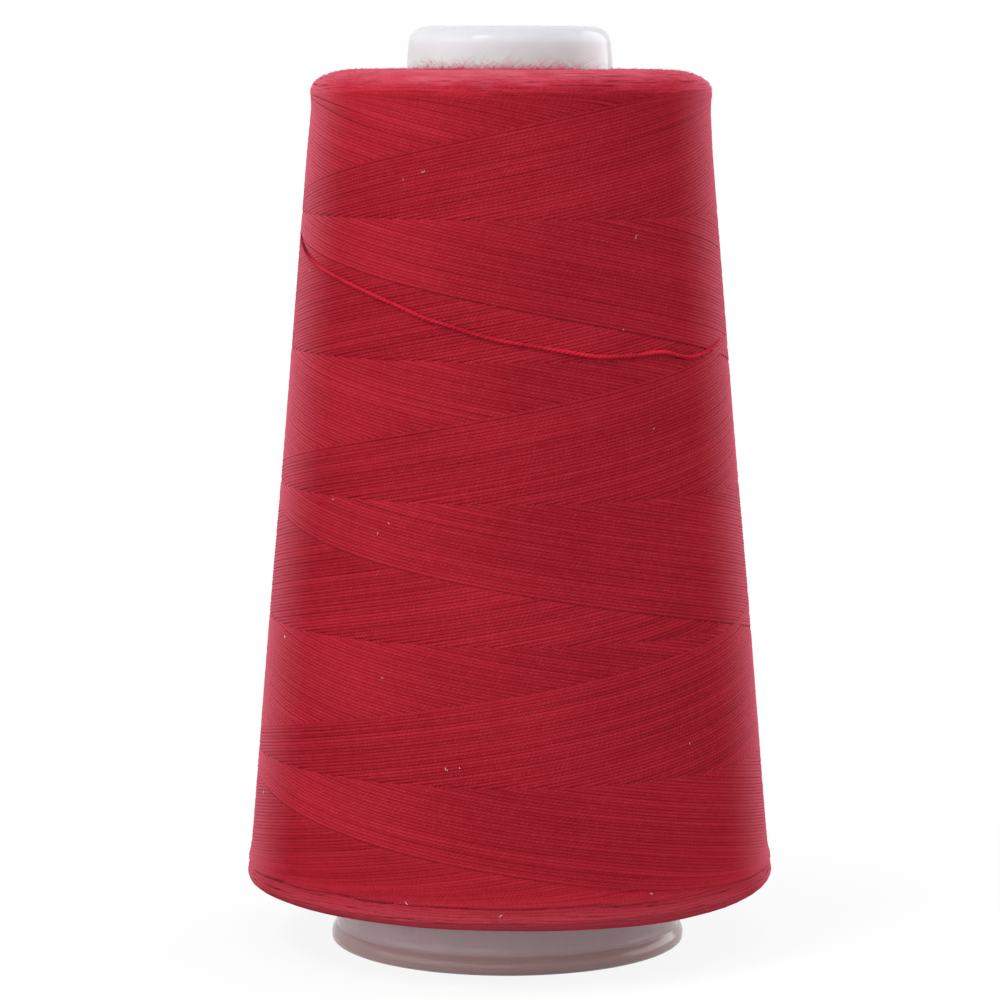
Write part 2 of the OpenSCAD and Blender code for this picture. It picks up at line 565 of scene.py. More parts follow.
@dataclass(frozen=True)
class ThreadFinish:
    """Dyed spun thread: twisted plies and uneven dye, with painted sheen where fibre fuzz would catch the
    light, painted highlights on the plies' backs and painted shade between the plies.

    Its ranges of heights hold for the package: the calm ones are where the painted highlights on the plies'
    backs fade, and the rim and the hem are its upper edge, rubbed and painted lighter as lit from above, and
    its lower edge.
    """

    name: str
    deep: Colour = (0.215, 0.0062, 0.0125)
    bright: Colour = (0.445, 0.0215, 0.0375)
    bead_highlight: Colour = (0.52, 0.08, 0.12)
    felt_and_sheen: Colour = (0.60, 0.125, 0.175)
    grazing_sheen_share: float = 0.95
    grazing_sheen_range: Span = (0.42, 1.0)
    sheen_normal_tilt: float = 0.466
    least_side_sheen: float = 0.5
    rim_felt_and_light_share: float = 0.68
    rim_heights: Span = (0.1008, 0.1036)
    rim_streaks: float = 0.003
    streak_scale: float = 260.0
    streak_detail: float = 3.0
    streak_flatness: float = 5.0
    hem_felt_and_sheen_share: float = 0.2
    hem_heights: Span = (0.0115, 0.0082)
    roughness: float = 0.5
    gloss: float = 0.0
    sheen: float = 0.08
    sheen_roughness: float = 0.30
    sheen_tint: Colour = (1.0, 0.22, 0.32)
    groove_shade: float = 0.2
    calm_share: float = 0.75
    calm_top: Span = (0.0950, 0.1005)
    calm_hem: Span = (0.0200, 0.0120)
    dye_patches: float = 90.0
    mottle_share: float = 0.35
    grain: float = 1500.0
    bead_highlight_share: float = 0.30
    highlight_patch_scale: float = 1300.0
    highlight_patch_detail: float = 1.0
    highlight_patch_range: Span = (0.38, 0.68)
    twist_depth: float = 0.000024
    nap_depth: float = 0.000008

    def material(self) -> bpy.types.Material:
        """Makes the material.

        Returns:
            The material.
        """
        material, tree, surface = new_material(self.name)
        place = tree.nodes.new("ShaderNodeTexCoord").outputs["Object"]
        along = shader(tree, "ShaderNodeUVMap", uv_map="along")
        twist = use_group(tree, Groups.ply_twist(), UV=along.outputs["UV"]).outputs
        spots = use_group(
            tree, Groups.mottle(), Vector=place, Coarse=self.dye_patches, Fine=self.grain
        ).outputs
        # Painted highlight: a lighter colour on the plies' backs, in patches.
        highlighted = mix(tree, self.bead_highlight_mask(tree, place, twist), self.dyed_and_shaded(tree, twist, spots), self.bead_highlight)
        # Painted sheen: the felt colour where the side turns away from the view and on the edges.
        with_sheen = mix(tree, self.felt_and_sheen_share(tree, place, twist), highlighted, self.felt_and_sheen)
        tree.links.new(with_sheen, surface.inputs["Base Color"])
        relief = shader(
            tree, "ShaderNodeBump", Strength=1.0, Distance=self.twist_depth, Height=twist["Height"]
        )
        nap = shader(
            tree, "ShaderNodeBump", Strength=1.0, Distance=self.nap_depth, Height=spots["Height"],
            Normal=relief.outputs["Normal"],
        )
        tree.links.new(nap.outputs["Normal"], surface.inputs["Normal"])
        surface.inputs["Roughness"].default_value = self.roughness
        surface.inputs["Sheen Weight"].default_value = self.sheen
        surface.inputs["Sheen Roughness"].default_value = self.sheen_roughness
        surface.inputs["Sheen Tint"].default_value = (*self.sheen_tint, 1.0)
        surface.inputs["Specular IOR Level"].default_value = self.gloss
        return material

    def dyed_and_shaded(self, tree: Tree, twist: Outputs, spots: Outputs) -> Socket:
        """The dyed thread's colour: by its strand's tone, uneven, and with painted shade between the plies.

        Args:
            tree: The material's tree.
            twist: Outputs of the ply_twist group.
            spots: Outputs of the mottle group.

        Returns:
            The output that holds it.
        """
        tone = shader(tree, "ShaderNodeAttribute", attribute_name="tone").outputs["Fac"]
        shade = maths(tree, "MULTIPLY_ADD", spots["Tone"], self.mottle_share, tone)
        # Painted shade between the plies.
        light = maths(tree, "MULTIPLY_ADD", twist["Groove"], -self.groove_shade, shade, clamp=True)
        return mix(tree, light, self.deep, self.bright)

    def bead_highlight_mask(self, tree: Tree, place: Socket, twist: Outputs) -> Socket:
        """Share of the painted highlight on the plies' backs: in patches, and less near the package's two
        edges.

        Args:
            tree: The material's tree.
            place: Output of the object's coordinates.
            twist: Outputs of the ply_twist group.

        Returns:
            The output that holds it.
        """
        patches = noise(tree, place, self.highlight_patch_scale, self.highlight_patch_detail)
        lit_patches = ramp(tree, patches, self.highlight_patch_range, 0.0, self.bead_highlight_share)
        height = shader(tree, "ShaderNodeSeparateXYZ", Vector=place).outputs["Z"]
        least = 1.0 - self.calm_share
        calm = [ramp(tree, height, heights, 1.0, least) for heights in (self.calm_top, self.calm_hem)]
        beads = maths(tree, "MULTIPLY", twist["Crown"], maths(tree, "MULTIPLY", *calm))
        return maths(tree, "MULTIPLY", lit_patches, beads)

    def felt_and_sheen_share(self, tree: Tree, place: Socket, twist: Outputs) -> Socket:
        """Share of the felt colour: a painted sheen where the side turns away from the view, and on both
        edges partly the felt of rubbed fibres and partly painted sheen and light.

        Args:
            tree: The material's tree.
            place: Output of the object's coordinates.
            twist: Outputs of the ply_twist group.

        Returns:
            The output that holds it.
        """
        # Painted sheen: the felt colour grows where the package's side turns away from the view, less on the
        # strands' sides.
        glance = shader(tree, "ShaderNodeLayerWeight", Blend=0.5, Normal=self.side_normal(tree, place))
        edge = ramp(tree, glance.outputs["Facing"], self.grazing_sheen_range, 0.0, self.grazing_sheen_share)
        grazing_sheen = maths(tree, "MULTIPLY", edge, ramp(tree, twist["Outside"], low=self.least_side_sheen, soft=False))
        height = shader(tree, "ShaderNodeSeparateXYZ", Vector=place).outputs["Z"]
        squash = (1.0, 1.0, self.streak_flatness)
        flattened = shader(tree, "ShaderNodeVectorMath", operation="MULTIPLY", _0=place, _1=squash)
        streaks = noise(tree, flattened.outputs[0], self.streak_scale, self.streak_detail)
        uneven = maths(tree, "MULTIPLY_ADD", streaks, self.rim_streaks, -self.rim_streaks / 2)
        # On the rim the felt colour is partly rubbed fibres and partly painted light from above and sheen; on
        # the hem partly felt and partly painted sheen.
        rim = ramp(tree, maths(tree, "ADD", height, uneven), self.rim_heights, 0.0, self.rim_felt_and_light_share)
        hem = ramp(tree, height, self.hem_heights, 0.0, self.hem_felt_and_sheen_share)
        return maths(tree, "MAXIMUM", grazing_sheen, maths(tree, "MAXIMUM", hem, rim))

    def side_normal(self, tree: Tree, place: Socket) -> Socket:
        """A direction away from the package's axis and a little up, whatever the thread's own surface does.

        Args:
            tree: The material's tree.
            place: Output of the object's coordinates.

        Returns:
            The output that holds it.
        """
        flat = shader(tree, "ShaderNodeVectorMath", operation="MULTIPLY", _0=place, _1=(1.0, 1.0, 0.0))
        outwards = shader(tree, "ShaderNodeVectorMath", operation="NORMALIZE", _0=flat.outputs[0])
        tilt = (0.0, 0.0, self.sheen_normal_tilt)
        raised = shader(tree, "ShaderNodeVectorMath", operation="ADD", _0=outwards.outputs[0], _1=tilt)
        return shader(
            tree, "ShaderNodeVectorTransform", vector_type="NORMAL",
            convert_from="OBJECT", convert_to="WORLD", _0=raised.outputs[0],
        ).outputs[0]


@dataclass(frozen=True)
class FuzzFinish:
    """Single loose fibres, thin enough for light to come through."""

    name: str
    root: Colour = (0.46, 0.024, 0.045)
    lit_tip: Colour = (0.68, 0.11, 0.17)
    roughness: float = 0.8

    def material(self) -> bpy.types.Material:
        """Makes the material.

        Returns:
            The material.
        """
        material, tree, surface = new_material(self.name)
        tone = shader(tree, "ShaderNodeAttribute", attribute_name="tone").outputs["Fac"]
        # Painted shade and light: darker at the root, lighter along each fibre where light would come
        # through.
        tree.links.new(mix(tree, tone, self.root, self.lit_tip), surface.inputs["Base Color"])
        surface.inputs["Roughness"].default_value = self.roughness
        surface.inputs["Specular IOR Level"].default_value = 0.0
        return material


@dataclass(frozen=True)
class PlasticFinish:
    """Natural polypropylene: cloudy, a little light inside it, satin as it left the mould.

    Its lower part is painted darker and redder, as painted shade under the package and painted red light from
    the thread; its foot's lip is painted darker and browner still for the same reasons, and its top is
    painted a little darker as painted shade against the light from above.
    """

    name: str
    clear: Colour = (0.75, 0.77, 0.795)
    cloudy: Colour = (0.78, 0.80, 0.825)
    cloud_coarse: float = 60.0
    cloud_fine: float = 700.0
    top_painted_shade: Colour = (0.55, 0.555, 0.585)
    top_shade_heights: Span = (0.1038, 0.1074)
    shaded_low_clear: Colour = (0.52, 0.385, 0.405)
    shaded_low_cloudy: Colour = (0.56, 0.435, 0.455)
    lip: Colour = (0.395, 0.25, 0.235)
    lip_shade_share: float = 0.8
    lip_heights: Span = (0.0012, 0.0032)
    low_shade_heights: Span = (0.006, 0.040)
    roughness: float = 0.13
    roughness_spread: float = 0.12
    ripple: float = 0.6
    ripple_depth: float = 0.00002
    gloss: float = 0.22
    refraction: float = 1.49
    scatter: float = 1.0
    scatter_depth: float = 0.006
    scatter_colours: Colour = (1.0, 0.9, 0.9)

    def material(self) -> bpy.types.Material:
        """Makes the material.

        Returns:
            The material.
        """
        material, tree, surface = new_material(self.name)
        place = tree.nodes.new("ShaderNodeTexCoord").outputs["Object"]
        height = shader(tree, "ShaderNodeSeparateXYZ", Vector=place).outputs["Z"]
        cloud = use_group(
            tree, Groups.mottle(), Vector=place, Coarse=self.cloud_coarse, Fine=self.cloud_fine
        ).outputs
        share = maths(tree, "ADD", cloud["Tone"], 0.5, clamp=True)
        # Painted shade and painted red light: the lower part, under the package and beside the red thread, is
        # made darker and redder.
        low = mix(tree, share, self.shaded_low_clear, self.shaded_low_cloudy)
        high = mix(tree, share, self.clear, self.cloudy)
        colour = mix(tree, ramp(tree, height, self.low_shade_heights), low, high)
        # Painted shade: the top of the nose is made darker against the light from above.
        colour = mix(tree, ramp(tree, height, self.top_shade_heights, soft=False), colour, self.top_painted_shade)
        # Painted shade and painted red light: the foot's lip is made darker and browner.
        colour = mix(tree, ramp(tree, height, self.lip_heights, self.lip_shade_share, 0.0), colour, self.lip)
        tree.links.new(colour, surface.inputs["Base Color"])
        least = self.roughness - self.roughness_spread / 2
        rough = maths(tree, "MULTIPLY_ADD", cloud["Height"], self.roughness_spread, least)
        tree.links.new(rough, surface.inputs["Roughness"])
        relief = shader(
            tree, "ShaderNodeBump", Strength=self.ripple, Distance=self.ripple_depth, Height=cloud["Height"]
        )
        tree.links.new(relief.outputs["Normal"], surface.inputs["Normal"])
        surface.inputs["Subsurface Weight"].default_value = self.scatter
        surface.inputs["Subsurface Scale"].default_value = self.scatter_depth
        surface.inputs["Subsurface Radius"].default_value = self.scatter_colours
        surface.inputs["IOR"].default_value = self.refraction
        surface.inputs["Specular IOR Level"].default_value = self.gloss
        return material


@dataclass(frozen=True)
class LintFinish:
    """White lint."""

    name: str
    dull: Colour = (0.7, 0.62, 0.6)
    white: Colour = (0.85, 0.82, 0.8)
    coarse: float = 2000.0
    fine: float = 6000.0
    roughness: float = 0.8

    def material(self) -> bpy.types.Material:
        """Makes the material.

        Returns:
            The material.
        """
        material, tree, surface = new_material(self.name)
        place = tree.nodes.new("ShaderNodeTexCoord").outputs["Object"]
        spots = use_group(tree, Groups.mottle(), Vector=place, Coarse=self.coarse, Fine=self.fine).outputs
        share = maths(tree, "ADD", spots["Tone"], 0.5, clamp=True)
        tree.links.new(mix(tree, share, self.dull, self.white), surface.inputs["Base Color"])
        surface.inputs["Roughness"].default_value = self.roughness
        return material


# ---------------------------------------------------------------- shapes


@dataclass(frozen=True)
class Outline:
    """A line of [distance from the axis, height] points, used by its own length."""

    points: np.ndarray

    @property
    def marks(self) -> np.ndarray:
        """Length of the line up to each point."""
        return marks_along(self.points)

    @property
    def length(self) -> float:
        """Length of the whole line."""
        return float(self.marks[-1])

    def at(self, distance: np.ndarray) -> tuple[np.ndarray, np.ndarray]:
        """Points and normals at distances along the line.

        Args:
            distance: Distances from the line's first point.

        Returns:
            The [radius, height] points, and the unit normals to the line's right.
        """
        marks = self.marks
        place = np.stack([np.interp(distance, marks, self.points[:, k]) for k in (0, 1)], axis=-1)
        way = unit(np.gradient(self.points, marks, axis=0))
        turn = unit(np.stack([np.interp(distance, marks, way[:, k]) for k in (0, 1)], axis=-1))
        return place, np.stack([turn[..., 1], -turn[..., 0]], axis=-1)


def corner(r: float, z: float, w: float, h: float, start: float, end: float, steps: int) -> np.ndarray:
    """Part of an ellipse.

    Args:
        r: Its centre's distance from the axis.
        z: Its centre's height.
        w: Half width.
        h: Half height.
        start: First angle in degrees.
        end: Last angle in degrees.
        steps: Number of steps between them.

    Returns:
        The [radius, height] points.
    """
    a = np.radians(np.linspace(start, end, steps + 1))
    return np.stack([r + w * np.cos(a), z + h * np.sin(a)], axis=-1)


@dataclass(frozen=True)
class PackageShape:
    """The wound package and the cone's taper under it."""

    neck_top: float = 0.0070
    top: float = 0.1030
    r_low: float = 0.0312
    r_low_z: float = 0.0086
    r_high: float = 0.0235
    shoulder_w: float = 0.0052
    shoulder_h: float = 0.0024
    underside: float = 0.0072
    hem_w: float = 0.0021
    hem_h: float = 0.0016
    shoulder_steps: int = 24
    hem_steps: int = 20
    # How far the side is drawn in, and the height and length over which each of these begins or ends.
    waist: float = 0.00029
    waist_start: Span = (0.0092, 0.003)
    upper_waist: float = 0.00015
    upper_waist_start: Span = (0.040, 0.022)
    waist_end: Span = (0.098, 0.004)
    shoulder_shown: float = 0.98
    top_lean: float = 0.00010
    top_lean_azimuth: float = 250.0
    top_lean_start: Span = (0.094, 0.008)
    top_shift: float = 0.00018
    top_shift_start: Span = (0.092, 0.010)
    # Azimuth in degrees and how far the lower edge lies above its mean, in millimetres.
    hem_rise: Table = (
        (0, 0.0), (90, 0.0), (150, -0.1), (180, -0.2), (190, -0.12), (200, 0.02), (212, 0.12), (240, 0.15),
        (270, 0.1), (290, -0.05), (305, -0.2), (318, -0.15), (340, 0.0), (360, 0.0),
    )  # fmt: skip
    hem_rise_unit: float = 0.001
    hem_rise_end: Span = (0.016, 0.008)
    shell_r: float = 0.0193
    taper: float = math.tan(math.radians(4.33))

    @property
    def hem_z(self) -> float:
        """Height at which the hem's round ends."""
        return self.underside + self.hem_h

    @property
    def shoulder_z(self) -> float:
        """Height at which the shoulder's round begins."""
        return self.top - self.shoulder_h

    @property
    def slope(self) -> float:
        """How much the radius falls with height on the side."""
        return (self.r_low - self.r_high) / (self.shoulder_z - self.r_low_z)

    def side_r(self, z: np.ndarray) -> np.ndarray:
        """Radius of the package's side, which is drawn in a little between its two firm edges.

        Args:
            z: Heights.

        Returns:
            The radii, with the first of the shoulder's round.
        """
        z = np.asarray(z)
        over = np.clip((z - self.shoulder_z) / self.shoulder_h, 0, self.shoulder_shown)
        drop = self.shoulder_w * (1 - np.sqrt(1 - over**2))
        waist = self.waist * rise(z, *self.waist_start) + self.upper_waist * rise(z, *self.upper_waist_start)
        waist = waist * (1 - rise(z, *self.waist_end))
        return self.r_low - self.slope * (np.minimum(z, self.shoulder_z) - self.r_low_z) - drop - waist

    def top_at(self, r: float) -> float:
        """Height of the package's flat top and shoulder.

        Args:
            r: Distance from the axis.

        Returns:
            The height.
        """
        over = np.clip((r - self.side_r(self.shoulder_z) + self.shoulder_w) / self.shoulder_w, 0, 1)
        return float(self.shoulder_z + self.shoulder_h * np.sqrt(1 - over**2))

    def lean(self, points: np.ndarray) -> np.ndarray:
        """Tips the package's two edges a little, and moves the upper one to one side.

        Args:
            points: Points of the package.

        Returns:
            The points, moved near the edges.
        """
        azimuth, z = np.arctan2(points[..., 1], points[..., 0]), points[..., 2]
        lean = self.top_lean * np.cos(azimuth - math.radians(self.top_lean_azimuth))
        top = lean * rise(z, *self.top_lean_start)
        places, rises = np.array(self.hem_rise).T
        hem = np.interp(np.degrees(azimuth) % FULL_TURN, places, rises) * self.hem_rise_unit
        hem_end, hem_over = self.hem_rise_end
        hem = hem * blend((hem_end - z) / hem_over)
        aside = self.top_shift * rise(z, *self.top_shift_start)
        return np.stack([points[..., 0] + aside, points[..., 1], z + top + hem], axis=-1)

    def shell_r_at(self, z: float) -> float:
        """Radius of the cone's shell.

        Args:
            z: Height.

        Returns:
            The radius.
        """
        return self.shell_r - self.taper * (z - self.neck_top)

    def upper_edge(self, overlap: float) -> Outline:
        """The shoulder and the flat top, up to the cone.

        Args:
            overlap: Length of the straight side to begin with.

        Returns:
            The outline, whose normals point out of the package.
        """
        low, width, height = self.shoulder_z - overlap, self.shoulder_w, self.shoulder_h
        side = np.array([[self.side_r(low), low]])
        centre_r = self.side_r(self.shoulder_z) - width
        rounded = corner(centre_r, self.shoulder_z, width, height, 0, 90, self.shoulder_steps)
        flat = np.array([[self.shell_r_at(self.top), self.top]])
        return Outline(np.concatenate([side, rounded, flat]))

    def lower_edge(self, overlap: float) -> Outline:
        """The underside and the hem, from the cone outwards.

        Args:
            overlap: Length of the straight side to end with.

        Returns:
            The outline, whose normals point out of the package.
        """
        high, width, height = self.hem_z + overlap, self.hem_w, self.hem_h
        flat = np.array([[self.shell_r, self.underside]])
        centre_r = self.side_r(self.hem_z) - width
        rounded = corner(centre_r, self.hem_z, width, height, -90, 0, self.hem_steps)
        side = np.array([[self.side_r(high), high]])
        return Outline(np.concatenate([flat, rounded, side]))


@dataclass(frozen=True)
class WindingLaw:
    """How the thread was laid: a saw-tooth between two edges that turns back softly.

    The turned angle is 0 at the newest turning point at the upper edge, and rises with time.
    """

    low: float = 0.0080
    high: float = 0.1022
    strands: int = 84
    nominal_turns: float = 3.0
    low_zone: float = 56.0
    high_zone: float = 44.0
    newest_crest: float = 336.3
    end_angle: float = 173.7
    level_reach: float = 1.5

    @property
    def shift(self) -> float:
        """Angle between a strand and the one wound next to it a double run later."""
        return FULL_TURN / self.strands

    @property
    def run_angle(self) -> float:
        """Turned angle of one run from edge to edge."""
        return FULL_TURN * self.nominal_turns - self.shift / 2

    @property
    def rate(self) -> float:
        """Rise of a run in one degree."""
        return (self.high - self.low) / self.run_angle

    @property
    def start_angle(self) -> float:
        """Turned angle at which the outermost layer's oldest strand begins."""
        return self.end_angle - self.strands * 2 * self.run_angle

    def azimuth(self, angle: np.ndarray) -> np.ndarray:
        """Azimuth of the thread.

        Args:
            angle: Turned angles.

        Returns:
            The azimuths.
        """
        return self.newest_crest + angle

    def drop(self, angle: np.ndarray) -> np.ndarray:
        """Turned angle from the nearest upper turning point.

        Args:
            angle: Turned angles.

        Returns:
            Values from 0 at the upper edge to run_angle at the lower.
        """
        run = self.run_angle
        return np.abs((angle + run) % (2 * run) - run)

    def height(self, angle: np.ndarray) -> np.ndarray:
        """Height of the thread.

        Args:
            angle: Turned angles.

        Returns:
            The heights.
        """
        run, top, bottom = self.run_angle, self.high_zone, self.low_zone
        u = self.drop(angle)
        rest = run - u
        soft = np.where(u < top, (u * u / top + top) / 2, u)
        soft = np.where(rest < bottom, run - (rest * rest / bottom + bottom) / 2, soft)
        return self.high - soft * self.rate

    def level(self, angle: np.ndarray) -> np.ndarray:
        """Whether the thread lies over or under the strands that it crosses.

        Args:
            angle: Turned angles.

        Returns:
            Values from -1, under, to 1, over.  The younger strand of a crossing is on top.
        """
        run = self.run_angle
        azimuth = self.azimuth(angle)
        reach = (self.high - self.height(angle)) / self.rate
        falling = (azimuth - self.newest_crest - reach) % FULL_TURN / self.shift
        rising = (azimuth - self.newest_crest + reach) % FULL_TURN / self.shift
        # How many double runs have been wound since this strand, and since the one that it crosses.
        climbs = (angle % (2 * run)) > run
        since = -angle / (2 * run)
        own = np.maximum(np.where(climbs, np.ceil(since - 0.5), np.ceil(since - TINY)), 0)
        other = np.where(climbs, falling, rising)
        return np.clip((other - own) / self.level_reach, -1, 1)


def smooth_curve(knots: np.ndarray, steps: int) -> np.ndarray:
    """A smooth curve through knots, straight between the first two.

    Args:
        knots: The knots.
        steps: Points for each later span.

    Returns:
        The curve's points.
    """
    last = len(knots) - 1
    line = [knots[0]]
    for i in range(1, last):
        a, b, c, d = knots[i - 1], knots[i], knots[i + 1], knots[min(i + 2, last)]
        slope, bow, sway = c - a, 2 * a - 5 * b + 4 * c - d, 3 * b - a - 3 * c + d
        for j in range(steps):
            t = j / steps
            line.append((2 * b + slope * t + bow * t**2 + sway * t**3) / 2)
    line.append(knots[last])
    return np.array(line)


# ---------------------------------------------------------------- sub-assemblies


@dataclass
class LooseThread:
    """The thread's running end, which has come off the package and lies across its front."""

    shape: PackageShape
    seed: int = 11
    diameter: float = 0.0005
    length: float = 0.0947
    embed: float = 0.00025
    rest_lift: float = 0.00018
    rise_from: float = 178.0
    rise_angle: float = 34.0
    sink_from: float = 324.0
    sink_angle: float = 22.0
    shade_from: float = 192.0
    shade_angle: float = 20.0
    exit_azimuth: float = 150.0
    ply_offset: float = 0.00003
    ply_radius: float = 0.0002
    twist_length: float = 0.00108
    ply_fullness: float = 0.8
    slub: Span = (0.07, 0.0012)
    shaded_tone: float = 0.08
    tone_gain: float = 0.47
    tone_spread: Span = (0.06, 0.002)
    ring_step: float = 0.00008
    curve_steps: int = 12
    path_step: int = 4
    sides: int = 16
    # Azimuth in degrees and height in millimetres, as the route is laid out.
    route: Table = (
        (160, 86.0), (168, 85.5), (176, 84.9), (183, 84.3), (188, 83.7), (192, 83.1), (197, 82.35),
        (202, 81.6), (207, 80.95), (212, 80.4), (218, 79.75), (226, 78.8), (234, 77.75), (241, 76.75),
        (248, 75.6), (254, 74.9), (261, 73.95), (268, 73.2), (276, 72.6), (286, 71.8), (292, 71.35),
        (298, 71.27), (304, 71.32), (309, 71.5), (313, 71.45), (318, 70.95), (322, 70.7), (326, 70.75),
        (331, 71.05), (336, 71.5), (343, 72.2), (351, 72.9), (360, 73.6),
    )  # fmt: skip
    route_unit: float = 0.001
    # The solid's own path: sharp edges of its traverse, the turned angle of one of its runs, and how far
    # into its last run it hands over.
    solid_low: float = 0.0072
    solid_high: float = 0.1022
    solid_run: float = 1035.0
    solid_last: float = 870.0

    def solid_point(self, azimuth: float) -> np.ndarray:
        """The wound thread where it hands over to this end.

        Args:
            azimuth: Azimuth near the exit.

        Returns:
            The point.
        """
        rate = (self.solid_high - self.solid_low) / self.solid_run
        z = self.solid_low + rate * (self.solid_last - (azimuth - self.exit_azimuth))
        return polar(self.shape.side_r(z) - self.embed, azimuth, z)

    def knots(self) -> tuple[np.ndarray, np.ndarray]:
        """The exit and the knots of the route.

        Returns:
            The exit point, and all the knots, which begin with it.
        """
        end = self.solid_point(self.exit_azimuth)
        way = unit(end - self.solid_point(self.exit_azimuth - 1))
        exit_point = end + way * self.diameter
        azimuth = np.array([p[0] for p in self.route])
        z = np.array([p[1] for p in self.route]) * self.route_unit
        up = rise(azimuth, self.rise_from, self.rise_angle)
        up = up * (1 - rise(azimuth, self.sink_from, self.sink_angle))
        lift = -self.embed + (self.rest_lift + self.embed) * up
        lying = polar(self.shape.side_r(z) + lift, azimuth, z)
        return exit_point, np.concatenate([[exit_point, exit_point + way * 2 * self.diameter], lying])

    def build(self, finish: bpy.types.Material) -> None:
        """Args:
            finish: The thread's material.
        """
        exit_point, knots = self.knots()
        rough = smooth_curve(knots, self.curve_steps)
        marks = marks_along(rough)
        along = np.arange(0, marks[-1], self.ring_step)
        line = np.stack([np.interp(along, marks, rough[:, k]) for k in range(3)], axis=-1)
        outward = unit(line * [1, 1, 0])
        rng = np.random.default_rng(self.seed)
        corner_angle = 2 * math.pi * np.arange(self.sides) / self.sides
        twist = 2 * math.pi * along / self.twist_length
        section = np.abs(np.cos(corner_angle[None] + twist[:, None])) ** self.ply_fullness
        slub = 1 + stir(rng, along, self.slub)
        radii = (self.ply_radius + self.ply_offset * (2 * section - 1)) * slub[:, None]
        azimuth = np.degrees(np.arctan2(line[:, 1], line[:, 0])) % FULL_TURN
        # Painted shade: the end is darker where it starts round the left side, then rises to its lit tone.
        tone = self.shaded_tone + self.tone_gain * rise(azimuth, self.shade_from, self.shade_angle)
        tone += stir(rng, along, self.tone_spread)
        strand = StrandMesh(self.sides)
        strand.add(line, outward, radii, tone, self.twist_length)
        piece = strand.build("running_end", finish)
        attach(piece, BODY)
        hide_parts("loose_thread")
        report(piece)


